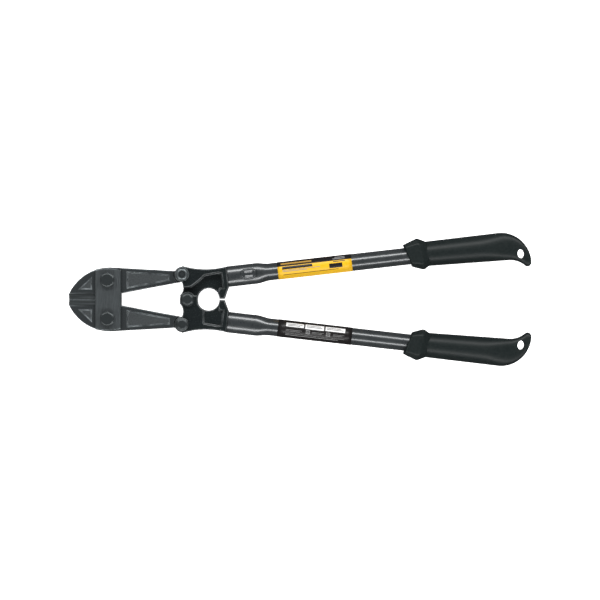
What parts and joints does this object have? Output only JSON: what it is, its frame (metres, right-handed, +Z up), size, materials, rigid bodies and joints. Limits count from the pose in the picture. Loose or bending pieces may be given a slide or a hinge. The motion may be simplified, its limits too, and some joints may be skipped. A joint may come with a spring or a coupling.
{
  "type": "bolt cutters",
  "caption": "Compound-action bolt cutters: forged jaws pinned between side plates and worked by two cast brackets on long tubular handles with moulded grips.",
  "frame": {"origin": "middle of the tool's length and width, on the surface it lies on", "axes": "+X from the nose of the jaws to the grips, +Y towards the upper handle, +Z up, away from the surface"},
  "size_m": [0.4574, 0.132, 0.03],
  "materials": {
    "side_plate": "dark grey, vertical brushed grain",
    "jaw": "forged, gunmetal oxide, satin; ground bevels brighter",
    "bracket": "black satin casting",
    "tube": "dark grey gloss enamel",
    "grip": "near-black satin moulding",
    "yellow_label": "yellow film, gloss",
    "black_label": "black film, gloss",
    "black_bolt": "black oxide",
    "small_fastener": "black oxide, satin",
    "zinc_fastener": "dark zinc, satin"
  },
  "bodies": {
    "head": {"front_plate": "side_plate", "back_plate": "side_plate", "upper_jaw_bolt": "black_bolt", "lower_jaw_bolt": "black_bolt", "upper_jaw_nut": "black_bolt", "lower_jaw_nut": "black_bolt", "upper_jaw_washer": "black_bolt", "lower_jaw_washer": "black_bolt"},
    "upper_jaw": {"upper_jaw": "jaw"},
    "lower_jaw": {"lower_jaw": "jaw"},
    "upper_handle": {"upper_bracket": "bracket", "upper_pivot_bolt": "small_fastener", "upper_pivot_washer": "zinc_fastener", "upper_pivot_nut": "zinc_fastener", "upper_tube": "tube", "upper_label": "yellow_label", "upper_grip": "grip"},
    "lower_handle": {"lower_bracket": "bracket", "centre_bolt": "small_fastener", "centre_front_washer": "small_fastener", "centre_back_washer": "small_fastener", "centre_nut": "small_fastener", "lower_pivot_bolt": "small_fastener", "lower_pivot_washer": "small_fastener", "lower_pivot_nut": "small_fastener", "lower_tube": "tube", "lower_label": "black_label", "lower_grip": "grip"}
  },
  "joints": [
    {"name": "upper_jaw_hinge", "type": "hinge", "parent": "head", "child": "upper_jaw", "pos_m": [-0.19019, 0.0192, 0.015], "axis": [0, 0, -1], "range_deg": [0, 6.6]},
    {"name": "lower_jaw_hinge", "type": "hinge", "parent": "head", "child": "lower_jaw", "pos_m": [-0.19019, -0.0192, 0.015], "axis": [0, 0, 1], "range_deg": [0, 6.6]},
    {"name": "upper_handle_hinge", "type": "hinge", "parent": "upper_jaw", "child": "upper_handle", "pos_m": [-0.11639, 0.0247, 0.015], "axis": [0, 0, 1], "range_deg": [0, 47]},
    {"name": "lower_handle_hinge", "type": "hinge", "parent": "lower_jaw", "child": "lower_handle", "pos_m": [-0.11639, -0.0247, 0.015], "axis": [0, 0, -1], "range_deg": [0, 47]}
  ],
  "couplings": [
    {"joint": "lower_handle_hinge", "follows": "upper_handle_hinge", "ratio": 1},
    {"joint": "upper_jaw_hinge", "follows": "upper_handle_hinge", "ratio": 0.1393},
    {"joint": "lower_jaw_hinge", "follows": "upper_handle_hinge", "ratio": 0.1393}
  ]
}
